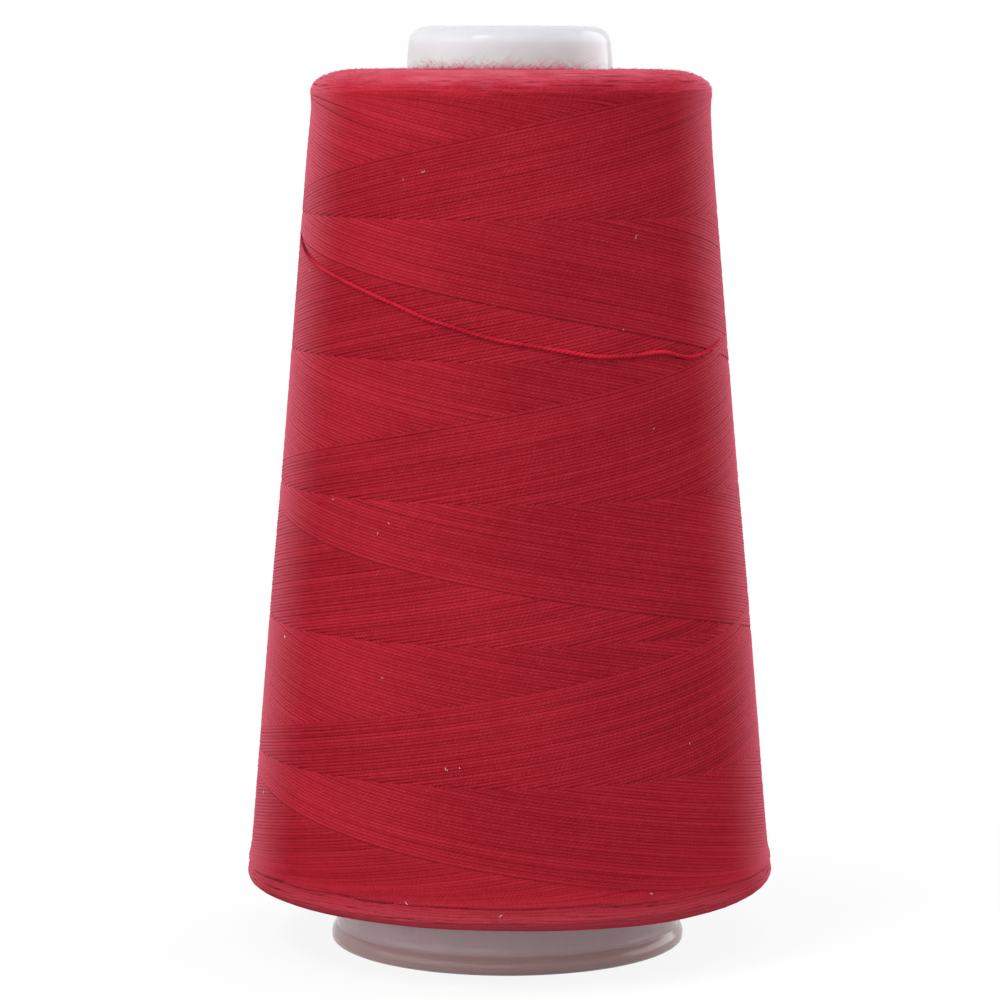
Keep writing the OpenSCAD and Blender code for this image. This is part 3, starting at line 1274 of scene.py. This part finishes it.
@dataclass
class WoundPackage:
    """The package: its inner mass, the outer layer's strands and the arcs on its two edges."""

    shape: PackageShape
    law: WindingLaw
    winding_seed: int = 5
    upper_seed: int = 7
    lower_seed: int = 8
    strand_w: float = 0.00026
    strand_t: float = 0.000095
    lift: float = 0.000075
    ring_step: float = 3.6
    sides: int = 6
    turn: float = 0.5
    parts: int = 4
    twist_length: float = 0.00108
    side_inset: float = 0.00020
    edge_inset: float = 0.00015
    shell_gap: float = 0.00004
    side_margin: float = 0.001
    body_steps: tuple[int, int] = (26, 40)
    body_corners: int = 180
    # Spread and distance in degrees between the knots of what is uneven along the wound thread.
    height_waves: Table = ((0.000016, 330.0), (0.000009, 70.0))
    run_height: float = 0.00012
    run_ease: float = 70.0
    depth_wave: Span = (0.00001, 25.0)
    width_wave: Span = (0.05, 9.0)
    middle_tone: float = 0.5
    run_tone: float = 0.07
    tone_waves: Table = ((0.05, 60.0), (0.03, 12.0))
    twist_wave: Span = (0.8, 40.0)
    level_samples: tuple[float, ...] = (-0.33, 0.0, 0.33)
    # Azimuth in degrees and how much lighter the runs that fall with it are painted than those that rise:
    # painted highlight and shade, as the light from the front left catches the fibres' lay.
    lay_painted_light: Table = (
        (0, 0.0), (180, 0.0), (198, 0.05), (216, 0.10), (236, 0.10), (248, 0.06), (258, 0.0), (272, -0.05),
        (284, -0.04), (294, 0.0), (320, 0.03), (345, 0.02), (360, 0.0),
    )  # fmt: skip
    edge_spread: float = 0.45
    edge_angle: float = 110.0
    spacing: float = 0.00033
    arcs_round: int = 14
    arc_half: float = 30.0
    upper_rings: int = 25
    lower_rings: int = 13
    upper_overlap: float = 0.0012
    lower_overlap: float = 0.0036
    arc_stretch: Span = (0.9, 1.3)
    arc_turn: float = 3.0
    arc_shift: float = 0.00004
    arc_run_off: Span = (0.0003, 0.0016)
    arc_inset: float = 0.00003
    arc_dive: float = 0.00034
    arc_dive_power: int = 5
    arc_depth: float = 0.00006
    upper_tones: float = 0.04
    lower_tones: float = 0.06
    waver: float = 0.00004
    lower_waver_share: float = 1 / 3
    waver_step: float = 0.22
    sag: float = 0.000015
    sag_step: float = 0.3
    sunk_share: float = 0.16
    sunk_depth: float = 0.00009
    sunk_azimuth: float = 318.0
    sunk_reach: float = 50.0

    def build(self, finish: bpy.types.Material, rim: bpy.types.Material, body: bpy.types.Material) -> None:
        """Builds all of the package.

        Args:
            finish: The wound thread's material.
            rim: The material of the thread on the upper edge, rubbed, and painted lighter as lit from above.
            body: The material of the mass under the strands.
        """
        self.build_body(body)
        self.build_winding(finish)
        self.build_edge("upper_turns", self.shape.upper_edge(self.upper_overlap), True, rim)
        self.build_edge("lower_turns", self.shape.lower_edge(self.lower_overlap), False, finish)

    def build_body(self, finish: bpy.types.Material) -> None:
        """Turns the mass under the strands.

        Args:
            finish: Its material.
        """
        shape = self.shape
        edge_steps, side_steps = self.body_steps
        outline = []
        for edge in (shape.lower_edge(0.0), shape.upper_edge(0.0)):
            place, normal = edge.at(np.linspace(0, edge.length, edge_steps))
            outline.append(place - normal * self.edge_inset)
        heights = np.linspace(shape.hem_z + self.side_margin, shape.shoulder_z - self.side_margin, side_steps)
        outline.insert(1, np.stack([shape.side_r(heights) - self.side_inset, heights], axis=-1))
        outline = np.concatenate(outline)
        inner = [[shape.shell_r_at(z) + self.shell_gap, z] for z in (outline[-1][1], outline[0][1])]
        piece = turned("thread_mass", [*outline, *inner], self.body_corners)
        bend(piece, shape.lean)
        piece.data.materials.append(finish)
        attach(piece, BODY)
        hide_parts("thread_core")
        report(piece)

    def build_winding(self, finish: bpy.types.Material) -> None:
        """Lays the outer layer as one thread, in a few pieces from the oldest to the newest.

        Args:
            finish: Its material.
        """
        law = self.law
        rng = np.random.default_rng(self.winding_seed)
        rings = int(round((law.end_angle - law.start_angle) / self.ring_step))
        angle = np.linspace(law.start_angle, law.end_angle, rings + 1)
        since = angle - law.start_angle
        z = law.height(angle)
        z += stir(rng, since, *self.height_waves)
        near_edge = np.minimum(law.drop(angle), law.run_angle - law.drop(angle))
        z += stir(rng, since, (self.run_height, law.run_angle)) * (1 - blend(near_edge / self.run_ease))
        levels = [law.level(angle + part * self.ring_step) for part in self.level_samples]
        inset = self.lift + self.strand_t - sum(levels) / len(levels) * self.lift
        inset += stir(rng, since, self.depth_wave)
        azimuth = law.azimuth(angle)
        line = self.shape.lean(polar(self.shape.side_r(z) - inset, azimuth, z))
        outward = polar(np.ones_like(z), azimuth, np.full_like(z, self.shape.slope))
        spread = 1 + self.edge_spread * (1 - blend(near_edge / self.edge_angle))
        radii = self.section() * (spread * (1 + stir(rng, since, self.width_wave)))[:, None]
        tone = self.middle_tone + stir(rng, since, (self.run_tone, law.run_angle), *self.tone_waves)
        # Painted highlight and shade: runs are made lighter or darker by winding direction and azimuth.
        places, shares = np.array(self.lay_painted_light).T
        falls = np.where(angle % (2 * law.run_angle) < law.run_angle, 1.0, -1.0)
        tone += falls * np.interp(azimuth % FULL_TURN, places, shares)
        turns = stir(rng, since, self.twist_wave)
        cuts = np.linspace(0, rings, self.parts + 1).astype(int)
        for number, (first, last) in enumerate(zip(cuts, cuts[1:]), 1):
            part = slice(first, last + 1)
            strand = StrandMesh(self.sides, self.turn)
            strand.add(line[part], outward[part], radii[part], tone[part], self.twist_length, turns[part])
            piece = strand.build(f"outer_layer_{number}", finish)
            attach(piece, BODY)
            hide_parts("outer_winding")
            report(piece)

    def section(self) -> np.ndarray:
        """Radius of a strand towards each of its corners: it lies a little flattened.

        Returns:
            The radii.
        """
        angle = 2 * math.pi * (np.arange(self.sides) + self.turn) / self.sides
        return 1 / np.hypot(np.cos(angle) / self.strand_t, np.sin(angle) / self.strand_w)

    def build_edge(self, name: str, edge: Outline, upper: bool, finish: bpy.types.Material) -> None:
        """Lays the arcs in which older runs turned back, as they show on one edge of the package.

        Args:
            name: Name of the piece.
            edge: Outline of the edge.
            upper: True for the upper edge, whose middle of the package is at the outline's start.
            finish: The thread's material.
        """
        rng = np.random.default_rng(self.upper_seed if upper else self.lower_seed)
        strand = StrandMesh(self.sides, self.turn)
        rows = int(edge.length / self.spacing)
        towards_side = -1.0 if upper else 1.0
        rings = self.upper_rings if upper else self.lower_rings
        waver = self.waver if upper else self.waver * self.lower_waver_share
        tones = self.upper_tones if upper else self.lower_tones
        radii = np.broadcast_to(self.section(), (rings, self.sides))
        share = np.linspace(-1, 1, rings)
        for row in range(rows):
            crest = (row + 0.5) * self.spacing
            phase = rng.uniform(0, FULL_TURN)
            for arc in range(self.arcs_round):
                place = crest + rng.normal() * self.arc_shift
                half = self.arc_half * rng.uniform(*self.arc_stretch)
                centre = phase + arc * FULL_TURN / self.arcs_round + rng.normal() * self.arc_turn
                run_off = towards_side * rng.uniform(*self.arc_run_off) * share**2
                distance = place + run_off + stir(rng, share + 1, (waver, self.waver_step))
                at, normal = edge.at(np.clip(distance, 0, edge.length))
                depth = self.strand_t + self.arc_inset + self.arc_dive * np.abs(share) ** self.arc_dive_power
                depth = depth + rng.uniform(0, self.arc_depth)
                depth = depth + stir(rng, share + 1, (self.sag, self.sag_step))
                near = apart(centre, self.sunk_azimuth) < self.sunk_reach
                sunk = rng.uniform() < self.sunk_share and upper and near
                depth = depth + self.sunk_depth * sunk
                at = at - normal * depth[:, None]
                azimuth = centre + half * share
                line = self.shape.lean(polar(at[:, 0], azimuth, at[:, 1]))
                outward = polar(normal[:, 0], azimuth, normal[:, 1])
                tone = self.middle_tone + rng.normal() * tones
                strand.add(line, outward, radii, np.full(rings, tone), self.twist_length, rng.uniform())
        piece = strand.build(name, finish)
        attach(piece, BODY)
        report(piece)


def turned(name: str, outline: list, segments: int) -> bpy.types.Object:
    """Turns a closed outline round the axis by extruding a ring from point to point.

    Args:
        name: Name of the piece.
        outline: [radius, height] points of the closed outline.
        segments: Corners round the axis.

    Returns:
        The new object, at the origin.
    """
    deselect_all()
    radius, z = outline[0]
    bpy.ops.mesh.primitive_circle_add(vertices=segments, radius=radius, location=(0, 0, z))
    piece = bpy.context.object
    piece.name = piece.data.name = name
    bpy.ops.object.transform_apply(location=True, rotation=True, scale=True)
    bpy.ops.object.mode_set(mode="EDIT")
    bpy.ops.mesh.select_all(action="SELECT")
    for (r0, z0), (r1, z1) in zip(outline, outline[1:]):
        bpy.ops.mesh.extrude_region_move(TRANSFORM_OT_translate={"value": (0, 0, z1 - z0)})
        bpy.ops.transform.resize(value=(r1 / r0, r1 / r0, 1), center_override=(0, 0, z1))
    bpy.ops.mesh.select_all(action="DESELECT")
    shell = bmesh.from_edit_mesh(piece.data)
    for edge in shell.edges:
        edge.select = edge.is_boundary
    bmesh.update_edit_mesh(piece.data)
    bpy.ops.mesh.bridge_edge_loops()
    bpy.ops.mesh.select_all(action="SELECT")
    bpy.ops.mesh.normals_make_consistent(inside=False)
    bpy.ops.object.mode_set(mode="OBJECT")
    bpy.ops.object.shade_smooth_by_angle(angle=SMOOTH_ANGLE)
    return piece


@dataclass
class MouldedCone:
    """The moulding: foot ring, neck with fine ribs, tapered shell and a rounded, collared nose."""

    shape: PackageShape
    height: float = 0.1080
    wall: float = 0.0012
    nose_round: float = 0.0022
    foot_r: float = 0.0209
    foot_round_w: float = 0.0012
    foot_round_h: float = 0.0006
    foot_shift: float = -0.00025
    foot_shift_over: float = 0.004
    neck_r: float = 0.0202
    # Distance outside the neck and height of the points of the lip's upper part, in millimetres.
    lip: Table = (
        (0.70, 1.00), (0.67, 1.30), (0.56, 1.60), (0.42, 1.85), (0.30, 2.05), (0.22, 2.15), (0.165, 2.23),
        (0.165, 2.31), (0.18, 2.37), (0.14, 2.60), (0.08, 2.90), (0.02, 3.30),
    )  # fmt: skip
    lip_unit: float = 0.001
    bore_r: float = 0.0080
    collar_h: float = 0.0070
    mouth_round: float = 0.0008
    crown_walls: float = 1.5
    crown_bevel: float = 0.0005
    shell_step: float = 0.00002
    round_steps: tuple[int, int, int] = (10, 14, 8)
    ribs: int = 112
    corners_to_rib: int = 4
    rib_low: float = 0.0040
    rib_high: float = 0.0052
    rib_ramp: float = 0.0002
    rib_depth: float = 0.00007
    rib_reach: float = 0.00001
    rib_share: float = 0.1

    def outline(self) -> list:
        """The closed outline, from the foot's underside outwards, over the nose and down inside.

        Returns:
            [radius, height] points.
        """
        shape, wall, mouth, nose = self.shape, self.wall, self.mouth_round, self.nose_round
        foot_steps, nose_steps, mouth_steps = self.round_steps
        shell_top = self.height - nose
        collar_low = self.height - self.collar_h
        crown = self.height - self.crown_walls * wall
        shell_in = crown - self.crown_bevel
        edge_w, edge_h = self.foot_round_w, self.foot_round_h
        rib_start, rib_end = self.rib_low - self.rib_ramp, self.rib_high + self.rib_ramp
        neck_heights = (rib_start, self.rib_low, self.rib_high, rib_end, shape.neck_top)
        return np.concatenate([
            corner(self.foot_r - edge_w, edge_h, edge_w, edge_h, -90, 0, foot_steps),
            np.array(self.lip) * self.lip_unit + [self.neck_r, 0],
            [[self.neck_r, z] for z in neck_heights],
            [[shape.shell_r - self.shell_step, shape.neck_top]],
            corner(shape.shell_r_at(shell_top) - nose, shell_top, nose, nose, 0, 90, nose_steps),
            corner(self.bore_r + mouth, self.height - mouth, mouth, mouth, 90, 180, mouth_steps),
            [[self.bore_r, collar_low], [self.bore_r + wall, collar_low], [self.bore_r + wall, crown]],
            [[shape.shell_r_at(crown) - wall - self.crown_bevel, crown]],
            [[shape.shell_r_at(z) - wall, z] for z in (shell_in, 0)],
        ]).tolist()

    def build(self, finish: bpy.types.Material) -> None:
        """Turns the moulding, raises its ribs and dresses it.

        Args:
            finish: The plastic.
        """
        piece = turned("moulded_cone", self.outline(), self.ribs * self.corners_to_rib)
        bend(piece, self.raise_ribs)
        bend(piece, self.shift_foot)
        piece.data.materials.append(finish)
        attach(piece, BODY)
        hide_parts("cone")
        report(piece)

    def shift_foot(self, points: np.ndarray) -> np.ndarray:
        """Moves the foot a little to one side, as it shrank off centre in the mould.

        Args:
            points: The moulding's points.

        Returns:
            The points, moved near the foot.
        """
        share = blend((self.shape.neck_top - points[:, 2]) / self.foot_shift_over)
        return points + share[:, None] * [self.foot_shift, 0, 0]

    def raise_ribs(self, points: np.ndarray) -> np.ndarray:
        """Pulls one line of corners in a few on the neck outwards, between the ribs' two heights.

        Args:
            points: The moulding's points.

        Returns:
            The points, with those of the ribs moved.
        """
        x, y, z = points.T
        r = np.hypot(x, y)
        turn = np.arctan2(y, x) / (2 * math.pi / self.ribs)
        on_band = (z > self.rib_low - self.rib_reach) & (z < self.rib_high + self.rib_reach)
        on_neck = abs(r - self.neck_r) < self.rib_reach
        on_rib = on_band & on_neck & (abs(turn - np.round(turn)) < self.rib_share)
        grow = np.where(on_rib, (r + self.rib_depth) / r, 1.0)
        return np.stack([x * grow, y * grow, z], axis=-1)


@dataclass
class Fuzz:
    """Loose fibres that stand off the thread, and specks of lint that have settled on it."""

    shape: PackageShape
    side_seed: int = 21
    rim_seed: int = 22
    lint_seed: int = 31
    fibre_sides: int = 3
    lint_sides: int = 5
    side_fibres: int = 2600
    rim_fibres: int = 6500
    hem_fibres: int = 1300
    fibre_r: float = 0.000011
    mat_fibre_r: float = 0.000019
    # Azimuth in degrees and height in millimetres of the specks that show most.
    specks: Table = (
        (286, 99.6), (246, 91.8), (240, 90.9), (222, 54.7), (240, 52.6), (237, 51.4), (240, 35.3),
        (256, 25.6), (259, 25.8), (308, 63.0), (248, 10.4), (300, 74.2), (301, 11.0), (268, 9.5),
    )  # fmt: skip
    loose_specks: int = 26
    side_longest: float = 0.0004
    edge_longest: float = 0.00045
    inner_longest: float = 0.0007
    hem_longest: float = 0.00030
    hairs: int = 9000
    hair_longest: float = 0.0026
    hair_power: float = 2.5
    hair_band: float = 0.0047
    hair_azimuth: float = 264.0
    hair_reach: Span = (30.0, 46.0)
    # Least and greatest share of its length by which a fibre stands off.
    side_rises: Span = (0.25, 0.9)
    edge_rises: Span = (0.15, 0.7)
    hair_rises: Span = (0.4, 1.5)
    # How deep in the thread a fibre starts.
    sunk_root: float = 0.00012
    hair_root: float = 0.00008
    fibre_points: int = 4
    fibre_lengths: Span = (0.25, 1.0)
    fibre_droop: float = 0.35
    fibre_curl: float = 0.7
    curl_spread: float = 0.4
    fibre_tip: float = 0.6
    shaded_root_tone: float = 0.1
    twist_length: float = 0.001
    lint_points: int = 6
    lint_places: Table = ((-60.0, 210.0), (12.0, 98.0))
    lint_unit: float = 0.001
    lint_lift: float = 0.00004
    lint_lengths: Span = (0.00015, 0.00050)
    lint_radii: Span = (0.000016, 0.000032)
    lint_curl: float = 1.2
    lint_middle: float = 0.1
    lint_taper: float = 1.6

    def build(self, fibre: bpy.types.Material, lint: bpy.types.Material) -> None:
        """Builds the fibres and the lint.

        Args:
            fibre: The fibres' material.
            lint: The lint's material.
        """
        self.build_side(fibre)
        self.build_rim(fibre)
        self.build_lint(lint)

    def fibre(
        self,
        strand: StrandMesh,
        rng: np.random.Generator,
        root: np.ndarray,
        out: np.ndarray,
        longest: float,
        rises: Span,
        radius: float | None = None,
    ) -> None:
        """Adds one curved fibre.

        Args:
            strand: The mesh that takes it.
            rng: Seeded source of random numbers.
            root: Where it leaves the thread.
            out: Direction out of the surface.
            longest: Greatest length.
            rises: Least and greatest share of its length by which it stands off.
            radius: Its radius at the root, if not the usual one.
        """
        side = unit(np.cross(out, unit(rng.normal(size=3))))
        curl = unit(np.cross(out, side) + rng.normal(size=3) * self.curl_spread)
        length = longest * rng.uniform(*self.fibre_lengths)
        t = np.linspace(0, 1, self.fibre_points)[:, None]
        off = out * rng.uniform(*rises) * (t - self.fibre_droop * t**2)
        bent = curl * t**2 * rng.uniform(-self.fibre_curl, self.fibre_curl)
        line = root + length * (off + side * t + bent)
        radii = (radius or self.fibre_r) * np.linspace(1.0, self.fibre_tip, self.fibre_points)
        # Painted shade at the root, lighter outwards as painted light through the fibre.
        tone = np.linspace(self.shaded_root_tone, 1.0, self.fibre_points)
        strand.add(line, np.broadcast_to(out, line.shape), radii, tone, self.twist_length)

    def scatter(
        self,
        strand: StrandMesh,
        rng: np.random.Generator,
        edge: Outline,
        count: int,
        longest: Span,
        radius: float | None = None,
    ) -> None:
        """Scatters fibres over one edge of the package.

        Args:
            strand: The mesh that takes them.
            rng: Seeded source of random numbers.
            edge: The edge's outline.
            count: Number of fibres.
            longest: Greatest length at the outline's start and at its end.
            radius: Their radius, if not the usual one.
        """
        for _ in range(count):
            azimuth, share = rng.uniform(0, FULL_TURN), rng.uniform()
            at, normal = edge.at(np.array(share * edge.length))
            inner = at - normal * self.sunk_root
            root = self.shape.lean(polar(inner[0], azimuth, inner[1]))
            reach = longest[0] + (longest[1] - longest[0]) * share**2
            out = unit(polar(normal[0], azimuth, normal[1]))
            self.fibre(strand, rng, root, out, reach, self.edge_rises, radius)

    def finish_piece(self, strand: StrandMesh, name: str, finish: bpy.types.Material) -> None:
        """Makes collected fibres a piece.

        Args:
            strand: The fibres.
            name: The piece's name.
            finish: Their material.
        """
        piece = strand.build(name, finish)
        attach(piece, BODY)
        report(piece)

    def build_side(self, finish: bpy.types.Material) -> None:
        """Scatters fibres over the side and the lower edge.

        Args:
            finish: Their material.
        """
        rng = np.random.default_rng(self.side_seed)
        shape = self.shape
        strand = StrandMesh(self.fibre_sides)
        for _ in range(self.side_fibres):
            azimuth, z = rng.uniform(0, FULL_TURN), rng.uniform(shape.hem_z, shape.shoulder_z)
            root = polar(shape.side_r(z) - self.sunk_root, azimuth, z)
            out = unit(polar(1.0, azimuth, shape.slope))
            self.fibre(strand, rng, root, out, self.side_longest, self.side_rises)
        lengths = (self.hem_longest, self.hem_longest)
        self.scatter(strand, rng, shape.lower_edge(0.0), self.hem_fibres, lengths)
        self.finish_piece(strand, "side_fibres", finish)

    def build_rim(self, finish: bpy.types.Material) -> None:
        """Scatters short fibres over the upper edge, and finer hairs where most stand up by the nose.

        Args:
            finish: Their material.
        """
        rng = np.random.default_rng(self.rim_seed)
        shape = self.shape
        strand = StrandMesh(self.fibre_sides)
        lengths = (self.edge_longest, self.inner_longest)
        self.scatter(strand, rng, shape.upper_edge(0.0), self.rim_fibres, lengths, self.mat_fibre_r)
        near, far = self.hair_reach
        upwards = np.array([0.0, 0.0, 1.0])
        for _ in range(self.hairs):
            azimuth = rng.uniform(0, FULL_TURN)
            aside = apart(azimuth, self.hair_azimuth)
            if rng.uniform() > blend((far - aside) / (far - near)):
                continue
            r = shape.shell_r_at(shape.top) + rng.uniform() * self.hair_band
            root = shape.lean(polar(r, azimuth, shape.top_at(r) - self.hair_root))
            longest = self.hair_longest * rng.uniform() ** self.hair_power
            self.fibre(strand, rng, root, upwards, longest, self.hair_rises)
        self.finish_piece(strand, "rim_fibres", finish)

    def build_lint(self, finish: bpy.types.Material) -> None:
        """Lays short bits of lint on the package.

        Args:
            finish: Their material.
        """
        rng = np.random.default_rng(self.lint_seed)
        strand = StrandMesh(self.lint_sides)
        around, heights = self.lint_places
        places = list(self.specks)
        for _ in range(self.loose_specks):
            places.append((rng.uniform(*around), rng.uniform(*heights)))
        t = np.linspace(-0.5, 0.5, self.lint_points)[:, None]
        for azimuth, height in places:
            z = height * self.lint_unit
            out = unit(polar(1.0, azimuth, self.shape.slope))
            root = polar(self.shape.side_r(z) + self.lint_lift, azimuth, z)
            side = unit(np.cross(out, unit(rng.normal(size=3))))
            curl = np.cross(out, side)
            length = rng.uniform(*self.lint_lengths)
            bent = curl * (t**2 - self.lint_middle) * rng.uniform(-self.lint_curl, self.lint_curl)
            line = root + length * (side * t + bent)
            radii = rng.uniform(*self.lint_radii) * (1 - self.lint_taper * t[:, 0] ** 2)
            strand.add(line, np.broadcast_to(out, line.shape), radii, np.ones(len(t)), self.twist_length)
        self.finish_piece(strand, "lint", finish)


# ---------------------------------------------------------------- studio


def seen_directly(tree: Tree) -> Socket:
    """Tells rays of the camera, of glossy reflections and through glass from those of soft light.

    Args:
        tree: The node tree.

    Returns:
        An output that is 1 for those rays.
    """
    rays = tree.nodes.new("ShaderNodeLightPath").outputs
    sight = maths(tree, "ADD", rays["Is Camera Ray"], rays["Is Glossy Ray"])
    return maths(tree, "ADD", sight, rays["Is Transmission Ray"], clamp=True)


@dataclass
class Studio:
    """Camera, pale floor, soft lamps and a white surround."""

    camera_place: Point = (-0.00114, -0.463, 0.1064)
    camera_tilt: float = 6.64
    lens: float = 142.34
    sensor: float = 36.0
    clip: Span = (0.05, 20.0)
    floor_half: float = 3.0
    floor_cells: int = 8
    lamps: tuple[tuple[str, Point, float, float], ...] = (
        ("key", (-0.358, -0.398, 0.70), 0.22, 2.7),
        ("second", (0.065, -0.531, 0.70), 0.14, 0.7),
        ("front", (0.42, -0.60, 0.30), 0.6, 0.45),
        ("left", (-0.82, -0.37, 0.25), 0.9, 4.8),
        ("right", (0.82, 0.35, 0.30), 1.0, 8.2),
        ("fill", (-0.25, -0.87, 0.12), 0.6, 1.7),
    )
    surround: float = 0.45
    floor_white: float = 0.97
    floor_bounce: float = 0.50
    floor_grain: Span = (20.0, 400.0)
    floor_roughness: Span = (0.75, 0.1)
    shadow_reach: Span = (0.030, 0.09)
    shadow_lift: float = 0.88
    lamp_aim: float = 0.055

    def place_camera(self) -> None:
        """Sets the camera at its viewing angle."""
        data = bpy.data.cameras.new("camera")
        data.lens = self.lens
        data.sensor_width = self.sensor
        data.clip_start, data.clip_end = self.clip
        camera = bpy.data.objects.new("camera", data)
        camera.location = self.camera_place
        camera.rotation_euler = (math.radians(90 - self.camera_tilt), 0, 0)
        bpy.context.scene.collection.objects.link(camera)
        bpy.context.scene.camera = camera

    def build(self) -> None:
        """Adds the floor, the lamps and the surround."""
        self.lay_floor()
        for name, place, size, power in self.lamps:
            self.hang_lamp(name, place, size, power)
        self.light_surround()
        bpy.context.scene.view_settings.view_transform = "Standard"

    def lay_floor(self) -> None:
        """Lays the pale floor."""
        deselect_all()
        bpy.ops.mesh.primitive_grid_add(
            x_subdivisions=self.floor_cells, y_subdivisions=self.floor_cells, size=2 * self.floor_half,
            location=(0, 0, 0),
        )
        floor = bpy.context.object
        floor.name = floor.data.name = "floor"
        material, tree, surface = new_material("pale_floor")
        place = tree.nodes.new("ShaderNodeTexCoord").outputs["Object"]
        coarse, fine = self.floor_grain
        grain = use_group(tree, Groups.mottle(), Vector=place, Coarse=coarse, Fine=fine)
        least, spread = self.floor_roughness
        rough = maths(tree, "MULTIPLY_ADD", grain.outputs["Height"], spread, least)
        tree.links.new(rough, surface.inputs["Roughness"])
        surface.inputs["Specular IOR Level"].default_value = 0.0
        seen = seen_directly(tree)
        tint = mix(tree, seen, (self.floor_bounce,) * 3, (self.floor_white,) * 3)
        tree.links.new(tint, surface.inputs["Base Color"])
        far = shader(tree, "ShaderNodeVectorMath", operation="LENGTH", _0=place)
        clear = ramp(tree, far.outputs["Value"], self.shadow_reach, self.shadow_lift)
        glow = shader(tree, "ShaderNodeEmission", Color=(1, 1, 1, 1), Strength=1.0)
        share = maths(tree, "MULTIPLY", clear, seen)
        both = shader(tree, "ShaderNodeMixShader", _0=share, _1=surface.outputs[0], _2=glow.outputs[0])
        out = next(item for item in tree.nodes if item.type == "OUTPUT_MATERIAL")
        tree.links.new(both.outputs[0], out.inputs["Surface"])
        floor.data.materials.append(material)

    def hang_lamp(self, name: str, place: Point, size: float, power: float) -> None:
        """Hangs a square lamp that faces the object's middle.

        Args:
            name: The lamp's name.
            place: Its centre.
            size: Its side.
            power: Its power in watts.
        """
        data = bpy.data.lights.new(name, "AREA")
        data.shape = "SQUARE"
        data.size = size
        data.energy = power
        lamp = bpy.data.objects.new(name, data)
        lamp.location = place
        way = Vector((0, 0, self.lamp_aim)) - Vector(place)
        lamp.rotation_euler = way.to_track_quat("-Z", "Y").to_euler()
        bpy.context.scene.collection.objects.link(lamp)

    def light_surround(self) -> None:
        """Sets the world: soft grey light, seen as white."""
        world = bpy.context.scene.world or bpy.data.worlds.new("surround")
        bpy.context.scene.world = world
        world.use_nodes = True
        tree = world.node_tree
        tree.nodes.clear()
        out = tree.nodes.new("ShaderNodeOutputWorld")
        seen = seen_directly(tree)
        strength = ramp(tree, seen, low=self.surround, soft=False)
        sky = shader(tree, "ShaderNodeBackground", Color=(1, 1, 1, 1), Strength=strength)
        tree.links.new(sky.outputs[0], out.inputs["Surface"])


def main() -> None:
    """Builds the part round its frame."""
    logging.basicConfig(level=logging.INFO, format="%(name)s %(message)s")
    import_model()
    shape = PackageShape()
    studio = Studio()
    studio.place_camera()
    wound = ThreadFinish("wound_thread")
    # A lighter copy of the thread for the running end: painted light on the raised end.
    running = ThreadFinish(
        "running_thread", deep=(0.10, 0.002, 0.006), bright=(0.76, 0.026, 0.055), grazing_sheen_share=0.08,
        bead_highlight_share=0.12,
    )
    # A lighter copy of the thread for the upper edge: partly rubbed felt, partly painted light from above.
    rim = ThreadFinish(
        "lit_rim_thread", deep=(0.26, 0.008, 0.017), bright=(0.54, 0.032, 0.056), felt_and_sheen=(0.70, 0.145, 0.215),
        bead_highlight_share=0.05, groove_shade=0.06, mottle_share=1.0, grain=4200.0, twist_depth=0.00001,
        nap_depth=0.00007,
    )
    # A darker copy of the thread for the mass under the strands: painted shade.
    shadowed = ThreadFinish(
        "thread_in_shadow", deep=(0.17, 0.003, 0.009), bright=(0.35, 0.011, 0.025), grazing_sheen_share=0.35
    )
    LooseThread(shape).build(running.material())
    WoundPackage(shape, WindingLaw()).build(wound.material(), rim.material(), shadowed.material())
    MouldedCone(shape).build(PlasticFinish("natural_polypropylene").material())
    Fuzz(shape).build(FuzzFinish("loose_fibre").material(), LintFinish("white_lint").material())
    studio.build()


if __name__ == "__main__":
    main()
